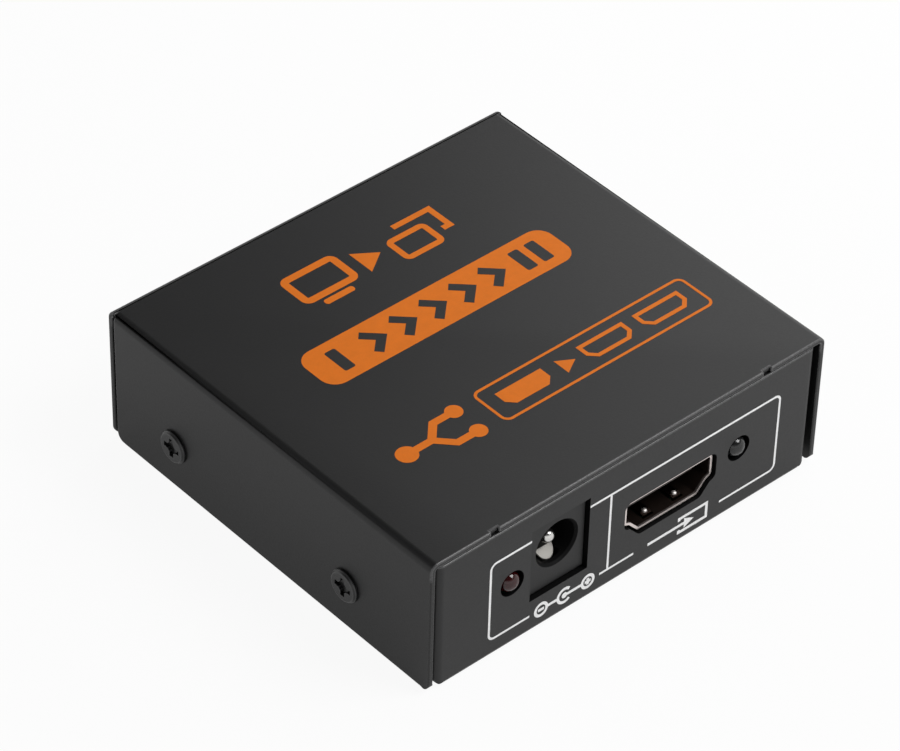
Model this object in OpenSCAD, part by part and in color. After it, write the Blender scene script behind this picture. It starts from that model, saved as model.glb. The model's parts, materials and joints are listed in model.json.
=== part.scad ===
// Signal splitter: one video input, two outputs, in a folded sheet-steel case.
// Front is -Y, up is +Z, and the origin is under the middle of the case.

/* [Case] */
// Width of the case over its side flanges
case_w = 66; // [62:0.5:90]
// Depth of the case from front panel to rear flange
case_d = 62; // [60:0.5:90]
// Height of the case from the underside of the tray to the top
case_h = 21.2; // [19:0.1:32]
// Thickness of the folded sheet
sheet = 0.8; // [0.6:0.1:1]
// Inside radius of every bend
bend_in = 0.4; // [0.3:0.1:0.8]
// Radius of the flanges' free corners
flange_corner_r = 1.3; // [0.5:0.1:2.5]
// Height of the cover's flanges above the table
flange_lift = 0.5; // [0.3:0.1:0.8]
// Gap between a side flange and the rear flange
corner_gap = 0.5; // [0.3:0.1:1]
// Distance of the rear flange's ends from the outside of the case
rear_inset = 0.2; // [0.1:0.1:0.6]
// Gap between cover and tray on the left
tray_gap_left = 0.2; // [0.15:0.05:0.5]
// Gap between cover and tray on the right, where the tray stands off as assembled
tray_gap_right = 0.65; // [0.15:0.05:0.8]
// Gap between cover and tray above the front panel and behind the floor
tray_gap = 0.15; // [0.15:0.05:0.5]
// Width of the two notches in the cover's front edge
notch_w = 1.2; // [0.6:0.1:2]
// Depth of the notches
notch_d = 0.4; // [0.2:0.1:0.8]
// Distance of each notch from the side of the case
notch_inset = 10.2; // [6:0.1:16]

/* [Tray] */
// Height of the tray's side walls
wall_h = 12; // [10:0.5:16]
// Depth of the returns at both ends of the front panel
return_d = 5; // [3:0.5:7]
// Height at which the returns start
return_z = 0.8; // [0.6:0.1:2]
// Gap between a return and the side wall behind it
return_gap = 1; // [0.5:0.1:2]

/* [Screws] */
// Shank diameter of every screw
screw_d = 2.5; // [2:0.1:3]
// Head diameter
head_d = 4.7; // [4.5:0.1:5.5]
// Diameter of the head's flat top
head_top_d = 4.1; // [3.4:0.1:4.4]
// Head height
head_h = 0.65; // [0.6:0.05:1.2]
// Height of the head's straight rim
head_rim = 0.35; // [0.1:0.05:0.4]
// Length over the wings of the cross recess
recess_l = 2.9; // [2.4:0.1:3.2]
// Width of a wing
recess_w = 0.75; // [0.5:0.05:1]
// Diameter of the recess's round middle
recess_core_d = 1.6; // [1.2:0.1:2]
// Depth of the recess
recess_d = 0.5; // [0.3:0.05:0.55]
// Shank length of a cover screw
cover_screw_l = 3; // [2.6:0.1:4]
// Shank length of a board screw
board_screw_l = 4.5; // [3:0.1:5]
// Gap between a shank and its threaded hole
thread_gap = 0.05; // [0.03:0.01:0.1]
// Gap between a shank and a clearance hole
shank_gap = 0.2; // [0.1:0.05:0.4]
// Height of the cover screws
cover_screw_z = 7.3; // [6:0.1:9]
// Distance of the front cover screws from the front
cover_screw_front = 15.4; // [12:0.1:20]
// Distance of the rear cover screws from the rear
cover_screw_rear = 13.3; // [10:0.1:18]

/* [Board] */
// Thickness of the circuit board
board_t = 1.6; // [1:0.1:2]
// Height of the standoffs above the floor
standoff_h = 3.5; // [3:0.1:5]
// Diameter of a standoff
standoff_d = 5; // [4.5:0.1:5.5]
// Diameter of the standoff's foot in the floor
foot_d = 4.2; // [3.6:0.1:4.4]
// Gap round the foot, and between the foot and the table
foot_gap = 0.05; // [0.03:0.01:0.1]
// Gap between the board and the tips of the cover screws
tip_gap = 1; // [0.6:0.1:1.5]
// Gap between the board and the panels in front and behind
board_gap = 1.6; // [1:0.1:2]
// Distance of the standoffs from the board's sides
standoff_side = 3.5; // [3:0.1:5]
// Distance of the front standoffs from the board's front edge
standoff_front = 6.6; // [4:0.1:9]
// Distance of the rear standoffs from the board's rear edge
standoff_rear = 14.6; // [12:0.1:17]
// Gap round leads and legs in the board
hole_gap = 0.2; // [0.1:0.05:0.3]
// Length of leads and legs below the board
lead_end = 1; // [0.5:0.1:1.5]

/* [Video ports] */
// Width of a port's shell
port_w = 15; // [14.8:0.05:15.3]
// Height of the shell
port_h = 5.55; // [5.4:0.05:5.8]
// Wall of the shell
port_wall = 0.35; // [0.3:0.05:0.4]
// Length of the shell
port_l = 11; // [10.5:0.1:12]
// Outside radius of the shell's corners
port_corner_r = 0.7; // [0.5:0.05:0.9]
// Height of the shell's upright sides
port_side = 3.5; // [3.2:0.05:3.6]
// Run of the ledge that goes in below each side
port_ledge = 0.9; // [0.8:0.05:1.1]
// Slope of the ledge
port_ledge_slope = 20; // [15:1:25]
// Slope of the flank from the ledge down to the shell's floor
port_flank_slope = 48; // [45:1:52]
// Outside radius of the corner above each ledge
port_ledge_r = 0.55; // [0.55:0.05:0.7]
// Outside radius of the hollow between ledge and flank
port_hollow_r = 0.55; // [0.55:0.05:0.7]
// Height of the shell above the board
port_lift = 0.42; // [0.35:0.01:0.8]
// Gap between a shell and its opening in the panel
port_gap = 0.35; // [0.2:0.05:0.5]
// Distance of the input's mouth behind the face of the front panel
input_recess = 0.45; // [0.2:0.05:1.2]
// Distance of the outputs' mouths behind the face of the rear flange
output_recess = 1; // [0.9:0.05:1.4]
// Sideways place of the input
input_x = 6.9; // [5:0.1:9]
// Distance of each output from the middle
output_x = 11.5; // [9:0.1:13]
// Width of a shell's leg
leg_w = 1.2; // [0.8:0.1:1.6]
// Distance of the front legs behind the mouth
leg_front = 3.2; // [2.8:0.1:4]
// Distance of the rear legs behind the mouth
leg_rear = 8.6; // [7:0.1:9.2]
// Width of the tongue
tongue_w = 11.2; // [10.8:0.1:12]
// Thickness of the tongue
tongue_t = 1.05; // [0.9:0.05:1.2]
// Gap between the tongue and the shell above it
tongue_drop = 1.3; // [1.1:0.05:1.5]
// Distance of the tongue behind the mouth
tongue_recess = 1.6; // [1.2:0.1:2.4]
// Depth of the insulator's rear block
block_d = 1.8; // [1.4:0.1:2.4]
// Gap round the block in the shell
block_gap = 0.05; // [0.03:0.01:0.1]
// Number of contacts above the tongue, one fewer lie below it
contact_n = 10; // [6:1:10]
// Spacing of the contacts
contact_pitch = 1; // [0.9:0.05:1.05]
// Width of a contact
contact_w = 0.3; // [0.2:0.02:0.34]
// Thickness of a contact
contact_t = 0.15; // [0.1:0.01:0.2]
// Gap round a contact in the insulator
contact_gap = 0.03; // [0.02:0.01:0.05]
// Distance of a contact's end behind the tongue's front
contact_recess = 0.5; // [0.3:0.1:1]
// Length of a contact's tail on the board
tail_l = 1; // [0.6:0.1:1.4]

/* [Port springs] */
// Width of a spring finger
finger_w = 1.4; // [1:0.1:1.8]
// Spacing of the two fingers of a pair
finger_spacing = 5.1; // [4:0.1:6]
// Distance of a finger's root behind the mouth
finger_root = 6; // [5:0.1:7]
// Distance of its bump behind the mouth
finger_bump = 1.5; // [1.3:0.1:2]
// Distance of its tip behind the mouth
finger_tip = 0.9; // [0.8:0.05:1.1]
// Height of the bump above the shell's wall
finger_rise = 0.45; // [0.3:0.05:0.5]
// Drop from the bump to the tip
finger_drop = 0.2; // [0.1:0.05:0.25]
// Radius of the round pip on the bump
pip_r = 0.45; // [0.4:0.05:0.6]
// Height of the pip above the bump
pip_h = 0.2; // [0.1:0.05:0.25]
// Gap round a finger in the shell
finger_gap = 0.2; // [0.1:0.05:0.3]
// Gap at the finger's root
root_gap = 0.06; // [0.04:0.01:0.1]

/* [Power jack] */
// Width of the jack
jack_w = 9; // [8.6:0.1:9.6]
// Height of the jack
jack_h = 11; // [10.8:0.1:11.5]
// Length of the jack
jack_l = 14.2; // [13.8:0.1:15]
// Height of the bore's axis above the board
jack_axis = 6.3; // [6.3:0.1:6.7]
// Diameter of the bore
jack_bore_d = 6.4; // [6.2:0.1:6.6]
// Diameter of the bore's mouth
jack_mouth_d = 7; // [6.8:0.1:7.4]
// Depth of the mouth's bevel
jack_bevel = 0.35; // [0.2:0.05:0.6]
// Depth of the bore
jack_bore_l = 10; // [9.5:0.1:10.4]
// Length of the jack's square front
jack_front_l = 3.4; // [2.5:0.1:4]
// Diameter of the barrel behind it
jack_barrel_d = 8.6; // [8.2:0.1:8.6]
// Length of the low platform behind the barrel
jack_platform_l = 3.2; // [3:0.1:3.4]
// Height of the platform
jack_platform_h = 5; // [4.5:0.1:5.2]
// Thickness of the jack's floor under the spring
jack_floor = 0.8; // [0.6:0.05:1]
// Distance of the jack's face behind the face of the front panel
jack_recess = 0.6; // [0.3:0.05:1]
// Sideways place of the jack
jack_x = -11.9; // [-13:0.1:-10.5]
// Gap between the jack and its opening in the panel
jack_gap = 0.3; // [0.2:0.05:0.5]
// Diameter of the centre pin
pin_d = 2; // [1.8:0.1:2.5]
// Diameter of the pin's root in the body
pin_root_d = 2.6; // [2.6:0.1:3]
// Length of the root that stands out into the bore
pin_root_l = 0.5; // [0.3:0.1:1]
// Distance of the pin's tip behind the jack's face
pin_recess = 0.9; // [0.5:0.1:2]
// Gap round the pin and the terminals in the body
pin_gap = 0.04; // [0.02:0.01:0.1]
// Thickness of the terminals
terminal_t = 0.4; // [0.3:0.05:0.5]
// Width of the pin's terminal
terminal_w = 2.4; // [2.1:0.1:2.8]
// Distance of the pin's terminal from the jack's rear
terminal_rear = 0.5; // [0.3:0.05:0.8]

/* [Jack spring] */
// Width of the leaf spring
leaf_w = 2.8; // [2:0.1:3.2]
// Thickness of the leaf
leaf_t = 0.3; // [0.2:0.05:0.4]
// Distance of its root behind the jack's face
leaf_root = 11.6; // [11.2:0.1:11.8]
// Height of its root above the board
leaf_root_z = 1.5; // [1.4:0.05:1.7]
// Distance of its bump behind the jack's face
leaf_bump = 2.4; // [2:0.1:3]
// Distance of the bump from the bore's axis
leaf_reach = 2.2; // [2:0.05:2.4]
// Distance of its tip behind the jack's face
leaf_tip = 1.2; // [1.1:0.1:1.7]
// Drop from the bump to the tip
leaf_drop = 1.2; // [0.3:0.05:1.3]
// Gap beside the leaf and in front of its tip
leaf_gap = 0.25; // [0.15:0.05:0.4]
// Gap between the leaf's root and its anchor
anchor_gap = 0.1; // [0.06:0.01:0.15]
// Height of the anchor above the board
anchor_h = 2.4; // [2.1:0.1:2.8]
// Width of the switch contact
switch_w = 2; // [1.6:0.1:2.4]
// Distance of the switch contact's middle behind the jack's face
switch_y = 10; // [9:0.1:10.2]
// Gap between the switch contact's finger and the leaf below it
switch_gap = 0.15; // [0.1:0.01:0.3]
// Reach of the finger inside the jack's wall
switch_reach = 3; // [2.6:0.1:3.6]
// Width of the finger
switch_finger_w = 1; // [0.8:0.1:1.2]
// Thickness of the switch contact
switch_t = 0.25; // [0.2:0.01:0.3]

/* [Lamps] */
// Diameter of a lamp's lens
lamp_d = 3; // [2.8:0.1:3.2]
// Length of a lamp from tip to flange
lamp_l = 5.3; // [4.8:0.1:5.6]
// Diameter of the flange
lamp_flange_d = 3.8; // [3.6:0.1:4]
// Thickness of the flange
lamp_flange_t = 1; // [0.6:0.1:1.2]
// Gap round a lamp in the panel
lamp_gap = 0.4; // [0.2:0.05:0.5]
// Height of the lamps above the board
lamp_rise = 4.7; // [4:0.1:5]
// Distance that the lamps' tips stand out of the panels
lamp_proud = 0.55; // [0:0.05:0.8]
// Sideways place of the power lamp
power_lamp_x = -19.7; // [-21:0.1:-19.4]
// Sideways place of the signal lamp
signal_lamp_x = 18.6; // [18:0.1:21]
// Distance of each output lamp from the middle
output_lamp_x = 23.5; // [23.2:0.1:25]
// Thickness of a lamp's lead
lead_t = 0.5; // [0.4:0.05:0.55]
// Spacing of a lamp's two leads
lead_pitch = 2.54; // [2.4:0.02:2.6]
// Distance of the leads' bend behind the flange
lead_run = 1.5; // [1.2:0.1:2]

/* [Board parts] */
// Side of the splitter chip
chip_w = 10; // [8:0.5:12]
// Height of the splitter chip
chip_h = 0.9; // [0.7:0.05:1.2]
// Diameter of the dimple beside its first pin
chip_dot_d = 1; // [0.6:0.1:1.4]
// Sideways place of the splitter chip
chip_x = 4; // [2:0.5:5]
// Length of the memory chip
memory_l = 4.9; // [4.6:0.1:5.2]
// Width of the memory chip
memory_w = 3.9; // [3.6:0.1:4.2]
// Height of the memory chip
memory_h = 1.5; // [1.2:0.05:1.7]
// Sideways place of the memory chip
memory_x = -9; // [-12:0.5:-7]
// Place of the memory chip from front to rear
memory_y = 7; // [5:0.5:8]
// Length of the regulator
regulator_l = 6.5; // [6:0.1:7]
// Width of the regulator
regulator_w = 3.5; // [3.2:0.1:3.8]
// Height of the regulator
regulator_h = 1.6; // [1.4:0.05:1.8]
// Sideways place of the regulator
regulator_x = -21; // [-22:0.5:-20]
// Place of the regulator from front to rear
regulator_y = -10; // [-11:0.5:-8]
// Width of a small package's lead
pad_w = 0.42; // [0.3:0.02:0.5]
// Thickness of a small package's lead
pad_t = 0.2; // [0.15:0.01:0.25]
// Reach of a small package's lead
pad_l = 1; // [0.8:0.05:1.2]
// Number of leads along each side of the memory chip
memory_lead_n = 4; // [3:1:4]
// Spacing of the memory chip's leads
memory_pitch = 1.27; // [1.2:0.01:1.3]
// Spacing of the regulator's leads
regulator_pitch = 2.3; // [2.2:0.05:2.4]
// Width of the regulator's tab
tab_w = 3; // [2.6:0.1:3.2]
// Side of the power inductor
inductor_w = 6; // [5.8:0.1:6.5]
// Height of the power inductor
inductor_h = 3; // [2.5:0.1:4]
// Diameter of the inductor's drum
drum_d = 5; // [4.2:0.1:5.2]
// Sideways place of the inductor
inductor_x = -11; // [-12:0.5:-9]
// Place of the inductor from front to rear
inductor_y = -7; // [-8:0.5:-4]
// Diameter of a capacitor can
can_d = 6.3; // [5:0.1:6.5]
// Height of a can
can_h = 5.4; // [4.5:0.1:6]
// Side of a can's base
can_base_w = 6.6; // [6.4:0.1:6.8]
// Height of a can's base
can_base_h = 0.8; // [0.6:0.1:1]
// Sideways place of the two cans
can_x = -21; // [-22:0.5:-20]
// Place midway between the cans from front to rear
can_y = 2.9; // [2.5:0.1:4]
// Spacing of the cans
can_spacing = 7.8; // [7.4:0.1:8.6]
// Length of the crystal
crystal_l = 11.4; // [10.5:0.1:12]
// Width of the crystal
crystal_w = 4.7; // [4.4:0.1:5]
// Height of the crystal
crystal_h = 3.6; // [3:0.1:4]
// Sideways place of the crystal
crystal_x = 18.5; // [17.5:0.5:20]
// Place of the crystal from front to rear
crystal_y = -5; // [-7:0.5:2]
// Length of a chip resistor or chip capacitor
passive_l = 1.6; // [1.4:0.1:1.8]
// Width of a chip resistor or chip capacitor
passive_w = 0.8; // [0.7:0.05:0.9]
// Height of a chip resistor
resistor_h = 0.45; // [0.4:0.05:0.6]
// Height of a chip capacitor
capacitor_h = 0.8; // [0.6:0.05:1]
// Number of resistors behind each port
resistor_n = 6; // [4:1:8]
// Spacing of the resistors
resistor_pitch = 1.8; // [1.5:0.1:2]
// Number of capacitors along each side of the splitter chip
capacitor_n = 3; // [2:1:4]
// Spacing of the capacitors
capacitor_pitch = 2.6; // [2:0.1:2.8]
// Length of a port protector
protector_l = 2.5; // [2.2:0.1:2.8]
// Width of a port protector
protector_w = 1; // [0.8:0.1:1.2]
// Height of a port protector
protector_h = 0.5; // [0.4:0.05:0.6]
// Spacing of the two protectors behind each port
protector_spacing = 6; // [4:0.1:8]
// Gap between neighbouring parts on the board
part_gap = 0.8; // [0.5:0.1:1]

/* [Hidden] */
$fn = 64;

// Overrun of every cut past the face it opens
cut = 0.5;
// Steps in 45 degrees of a shell's rounded corner
corner_steps = 4;

front = -case_d / 2;
rear = case_d / 2;
side = case_w / 2;
bend_out = bend_in + sheet;
// Rear edge of the side flanges
side_end = rear - sheet - corner_gap;
rear_half = side - rear_inset;

tray_left = -side + sheet + tray_gap_left;
tray_right = side - sheet - tray_gap_right;
tray_rear = rear - sheet - tray_gap;
panel_top = case_h - sheet - tray_gap;
wall_front = front + return_d + return_gap;

board_top = sheet + standoff_h + board_t;
board_half = side - cover_screw_l - tip_gap;
board_front = front + sheet + board_gap;
board_rear = rear - sheet - board_gap;
lead_z = board_top - board_t - lead_end;
standoff_x = board_half - standoff_side;
standoff_ys = [board_front + standoff_front, board_rear - standoff_rear];
cover_screw_ys = [front + cover_screw_front, rear - cover_screw_rear];

port_z = board_top + port_lift + port_h / 2;
tongue_top = port_h / 2 - port_wall - tongue_drop;
tongue_bottom = tongue_top - tongue_t;
// Each port: sideways place, mouth, and turn about the upright axis
PORTS = [[input_x, front + input_recess, 0], [-output_x, rear - output_recess, 180],
    [output_x, rear - output_recess, 180]];

jack_y = front + jack_recess;
window_half = leaf_w / 2 + leaf_gap;
window_top = jack_axis - leaf_reach + leaf_gap;
anchor_y = leaf_root + anchor_gap;
terminal_y = jack_l - terminal_rear - terminal_t;
bump_z = jack_axis - leaf_reach - leaf_t;
leaf_slope = (bump_z - leaf_root_z) / (leaf_root - leaf_bump);
tip_slope = leaf_drop / (leaf_bump - leaf_tip);
// Underside of the switch contact's finger, over the leaf's highest point below it
switch_z = leaf_root_z + leaf_t + leaf_slope * (leaf_root - switch_y + switch_finger_w / 2) + switch_gap;

lamp_z = board_top + lamp_rise;
// Each lamp: sideways place, tip, and turn about the upright axis
LAMPS = [[power_lamp_x, front - lamp_proud, 0], [signal_lamp_x, front - lamp_proud, 0],
    [-output_lamp_x, rear + lamp_proud, 180], [output_lamp_x, rear + lamp_proud, 180]];

// Row of protectors and row of resistors, measured behind a port's mouth
protector_y = port_l + tail_l + part_gap + protector_w / 2;
resistor_y = protector_y + protector_w / 2 + part_gap + passive_l / 2;

// Places of n things in a row about the middle
function row(n, pitch) = [for (i = [0:n - 1]) (i - (n - 1) / 2) * pitch];

// Unit vector at an angle
function unit(a) = [cos(a), sin(a)];

// Rounded corner between two faces whose normals have the angles a0 and a1, drawn in by the inset.
// A hollow corner has a negative radius.
function corner(p, a0, a1, r, inset) =
    let (middle = p - r * (unit(a0) + unit(a1)) / (1 + unit(a0) * unit(a1)))
    let (steps = ceil(corner_steps * abs(a1 - a0) / 45))
    [for (i = [0:steps]) middle + (r - inset) * unit(a0 + (a1 - a0) * i / steps)];

// Outline of a port, wide side up, drawn in by the inset
function port_outline(inset) =
    let (w = port_w / 2, h = port_h / 2, r = port_corner_r, u = port_ledge_r, v = -port_hollow_r)
    let (ledge = 270 + port_ledge_slope, flank = 270 + port_flank_slope)
    let (a = [w, h - port_side], b = a - port_ledge * unit(port_ledge_slope))
    let (c = [b.x - (b.y + h) / tan(port_flank_slope), -h])
    concat(corner([w, h], 0, 90, r, inset), corner([-w, h], 90, 180, r, inset),
        corner([-a.x, a.y], 180, 540 - ledge, u, inset),
        corner([-b.x, b.y], 540 - ledge, 540 - flank, v, inset),
        corner([-c.x, c.y], 540 - flank, 270, r, inset), corner(c, 270, flank, r, inset),
        corner(b, flank, ledge, v, inset), corner(a, ledge, 360, u, inset));

// Extrude a drawing of (x, z) along Y
module along_y(y0, y1) {
    translate([0, y1, 0]) rotate([90, 0, 0]) linear_extrude(y1 - y0) children();
}

// Extrude a drawing of (y, z) along X
module along_x(x0, x1) {
    translate([x0, 0, 0]) rotate([90, 0, 90]) linear_extrude(x1 - x0) children();
}

module box(low, high) {
    translate(low) cube(high - low);
}

// Rectangle with its two upper corners rounded
module arch(x0, x1, z0, z1, r) {
    translate([x0, z0]) square([x1 - x0, z1 - z0 - r]);
    translate([x0 + r, z0]) square([x1 - x0 - 2 * r, z1 - z0]);
    for (x = [x0 + r, x1 - r]) translate([x, z1 - r]) circle(r);
}

// Sheet folded down along two edges
module folded_channel(x0, x1, z0, z1) {
    difference() {
        arch(x0, x1, z0, z1, bend_out);
        arch(x0 + sheet, x1 - sheet, z0 - cut, z1 - sheet, bend_in);
    }
}

// What a rounded corner takes away from the lower left of a sheet
module corner_waste(r) {
    difference() {
        translate([-cut, -cut]) square(r + cut);
        translate([r, r]) circle(r);
    }
}

module at_port(p) {
    translate([p.x, p.y, port_z]) rotate(p.z) children();
}

module at_lamp(p) {
    translate([p.x, p.y, lamp_z]) rotate(p.z) children();
}

module port_cutout(p, y0, y1) {
    along_y(y0, y1) translate([p.x, port_z]) polygon(port_outline(-port_gap));
}

module lamp_cutout(p, y0, y1) {
    along_y(y0, y1) translate([p.x, lamp_z]) circle(lamp_d / 2 + lamp_gap);
}

// Pan head screw along +Z with its head above zero
module pan_screw(shank) {
    difference() {
        union() {
            translate([0, 0, -shank]) cylinder(d = screw_d, h = shank + head_rim);
            cylinder(d = head_d, h = head_rim);
            translate([0, 0, head_rim]) cylinder(d1 = head_d, d2 = head_top_d, h = head_h - head_rim);
        }
        translate([0, 0, head_h - recess_d]) {
            cylinder(d = recess_core_d, h = recess_d + cut);
            for (a = [0, 90]) rotate(a) translate([-recess_l / 2, -recess_w / 2, 0])
                cube([recess_l, recess_w, recess_d + cut]);
        }
    }
}

module top_cover() {
    color("#2c2c2d") difference() {
        union() {
            along_y(front, side_end) folded_channel(-side, side, flange_lift, case_h);
            along_x(-rear_half, rear_half) intersection() {
                folded_channel(front, rear, flange_lift, case_h);
                translate([side_end, 0]) square([rear - side_end + cut, case_h + cut]);
            }
        }
        along_x(-side - cut, side + cut) {
            translate([front, flange_lift]) corner_waste(flange_corner_r);
            translate([side_end, flange_lift]) mirror([1, 0]) corner_waste(flange_corner_r);
            for (y = cover_screw_ys) translate([y, cover_screw_z]) circle(screw_d / 2 + shank_gap);
        }
        along_y(rear - sheet - corner_gap / 2, rear + cut) for (m = [0, 1])
            mirror([m, 0]) translate([-rear_half, flange_lift]) corner_waste(flange_corner_r);
        for (i = [1, 2]) port_cutout(PORTS[i], rear - sheet - corner_gap / 2, rear + cut);
        for (i = [2, 3]) lamp_cutout(LAMPS[i], rear - sheet - corner_gap / 2, rear + cut);
        for (m = [-1, 1]) translate([m * (side - notch_inset), front, case_h])
            cube([notch_w, 2 * notch_d, 2 * (sheet + cut)], center = true);
    }
}

module base_tray() {
    color("#2a2a2b") difference() {
        union() {
            along_y(wall_front, tray_rear) mirror([0, 1]) folded_channel(tray_left, tray_right, -wall_h, 0);
            along_x(tray_left + bend_out, tray_right - bend_out) intersection() {
                mirror([0, 1]) folded_channel(front, rear, -panel_top, 0);
                translate([front - cut, -cut]) square([wall_front - front + cut, panel_top + 2 * cut]);
            }
            translate([0, 0, return_z]) linear_extrude(panel_top - return_z)
                mirror([0, 1]) folded_channel(tray_left, tray_right, -front - return_d, -front);
        }
        along_y(front - cut, front + return_d + cut) {
            translate([tray_left, return_z]) corner_waste(flange_corner_r);
            translate([tray_right, return_z]) mirror([1, 0]) corner_waste(flange_corner_r);
        }
        port_cutout(PORTS[0], front - cut, front + sheet + cut);
        for (i = [0, 1]) lamp_cutout(LAMPS[i], front - cut, front + sheet + cut);
        box([jack_x - jack_w / 2 - jack_gap, front - cut, board_top - jack_gap],
            [jack_x + jack_w / 2 + jack_gap, front + sheet + cut, board_top + jack_h + jack_gap]);
        along_x(tray_left - cut, tray_right + cut)
            for (y = cover_screw_ys) translate([y, cover_screw_z]) circle(screw_d / 2 + thread_gap);
        for (x = [-standoff_x, standoff_x], y = standoff_ys)
            translate([x, y, -cut]) cylinder(d = foot_d + 2 * foot_gap, h = sheet + 2 * cut);
    }
}

module cover_screws() {
    color("#232324") for (m = [0, 1], y = cover_screw_ys)
        mirror([m, 0, 0]) translate([side, y, cover_screw_z]) rotate([0, 90, 0]) pan_screw(cover_screw_l);
}

module board_standoffs() {
    color("silver") for (x = [-standoff_x, standoff_x], y = standoff_ys)
        translate([x, y, 0]) difference() {
            union() {
                translate([0, 0, foot_gap]) cylinder(d = foot_d, h = sheet);
                translate([0, 0, sheet]) cylinder(d = standoff_d, h = standoff_h);
            }
            translate([0, 0, sheet]) cylinder(d = screw_d + 2 * thread_gap, h = standoff_h + cut);
        }
}

module board_screws() {
    color("silver") for (x = [-standoff_x, standoff_x], y = standoff_ys)
        translate([x, y, board_top]) pan_screw(board_screw_l);
}

module circuit_board() {
    color("darkgreen") difference() {
        box([-board_half, board_front, board_top - board_t], [board_half, board_rear, board_top]);
        translate([0, 0, board_top - board_t - cut]) linear_extrude(board_t + 2 * cut) {
            for (x = [-standoff_x, standoff_x], y = standoff_ys)
                translate([x, y]) circle(screw_d / 2 + shank_gap);
            for (p = PORTS) translate([p.x, p.y]) rotate(p.z) leg_plan(hole_gap);
            for (p = LAMPS) translate([p.x, p.y]) rotate(p.z) for (m = [-1, 1])
                translate([m * lead_pitch / 2, lamp_l + lead_run]) circle(lead_t * sqrt(0.5) + hole_gap);
            translate([jack_x, jack_y]) terminal_plan(hole_gap);
        }
    }
}

// Plan of an upright blade about its middle, grown by a gap
module blade_plan(x, y, w, d, gap) {
    translate([x, y]) square([w + 2 * gap, d + 2 * gap], center = true);
}

// Plan of a shell's four legs, grown by a gap
module leg_plan(gap) {
    for (m = [-1, 1], y = [leg_front, leg_rear])
        blade_plan(m * (port_w - port_wall) / 2, y + leg_w / 2, port_wall, leg_w, gap);
}

// Plan of the jack's three terminals, grown by a gap
module terminal_plan(gap) {
    blade_plan(0, terminal_y + terminal_t / 2, terminal_w, terminal_t, gap);
    blade_plan(0, anchor_y + terminal_t / 2, leaf_w, terminal_t, gap);
    blade_plan(-jack_w / 2 - pin_gap - switch_t / 2, switch_y, switch_t, switch_w, gap);
}

module port_shell(p) {
    color("#c9c2bd") at_port(p) difference() {
        union() {
            along_y(0, port_l) difference() {
                polygon(port_outline(0));
                polygon(port_outline(port_wall));
            }
            translate([0, 0, lead_z - port_z]) linear_extrude(port_z - lead_z) leg_plan(0);
        }
        for (m = [-1, 1]) translate([m * finger_spacing / 2, 0, 0])
            box([-finger_w / 2 - finger_gap, finger_tip - finger_gap, -port_h],
                [finger_w / 2 + finger_gap, finger_root + root_gap, port_h]);
    }
}

module port_insulator(p) {
    color("#1c1b1a") at_port(p) difference() {
        union() {
            along_y(port_l - block_d, port_l) polygon(port_outline(port_wall + block_gap));
            box([-tongue_w / 2, tongue_recess, tongue_bottom],
                [tongue_w / 2, port_l - block_d + cut, tongue_top]);
        }
        for (x = row(contact_n, contact_pitch))
            contact_run(x, tongue_top - contact_t, tongue_top, contact_gap);
        for (x = row(contact_n - 1, contact_pitch))
            contact_run(x, tongue_bottom, tongue_bottom + contact_t, contact_gap);
    }
}

// Straight run of a contact along the tongue and through the block
module contact_run(x, z0, z1, gap) {
    box([x - contact_w / 2 - gap, tongue_recess + contact_recess - gap, z0 - gap],
        [x + contact_w / 2 + gap, port_l + contact_t + 2 * contact_gap + gap, z1 + gap]);
}

module contact(x, z0, z1) {
    tail_z = board_top - port_z;
    tail_y = port_l + contact_gap;
    union() {
        contact_run(x, z0, z1, 0);
        box([x - contact_w / 2, tail_y, tail_z], [x + contact_w / 2, tail_y + contact_t, z1]);
        box([x - contact_w / 2, tail_y, tail_z], [x + contact_w / 2, tail_y + tail_l, tail_z + contact_t]);
    }
}

module port_contacts(p) {
    color("goldenrod") at_port(p) {
        for (x = row(contact_n, contact_pitch)) contact(x, tongue_top - contact_t, tongue_top);
        for (x = row(contact_n - 1, contact_pitch)) contact(x, tongue_bottom, tongue_bottom + contact_t);
    }
}

// Side view of a lower finger: straight from its root to the bump, then back towards the wall
module finger_outline() {
    tip_rise = finger_rise - finger_drop;
    translate([0, -port_h / 2])
        polygon([[finger_root, 0], [finger_bump, finger_rise], [finger_tip, tip_rise],
            [finger_tip, tip_rise + port_wall], [finger_bump, finger_rise + port_wall],
            [finger_root, port_wall]]);
}

module finger_pair() {
    bump_top = port_wall + finger_rise - port_h / 2;
    for (m = [-1, 1]) translate([m * finger_spacing / 2, 0, 0]) union() {
        along_x(-finger_w / 2, finger_w / 2) finger_outline();
        translate([0, finger_bump, bump_top]) intersection() {
            translate([0, 0, pip_h - pip_r]) sphere(pip_r);
            box([-pip_r, -pip_r, -port_wall * 2 / 3], [pip_r, pip_r, pip_r]);
        }
    }
}

module port_lower_springs(p) {
    color("#d8d2cc") at_port(p) finger_pair();
}

module port_upper_springs(p) {
    color("#d8d2cc") at_port(p) mirror([0, 0, 1]) finger_pair();
}

module at_jack() {
    translate([jack_x, jack_y, board_top]) children();
}

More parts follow.
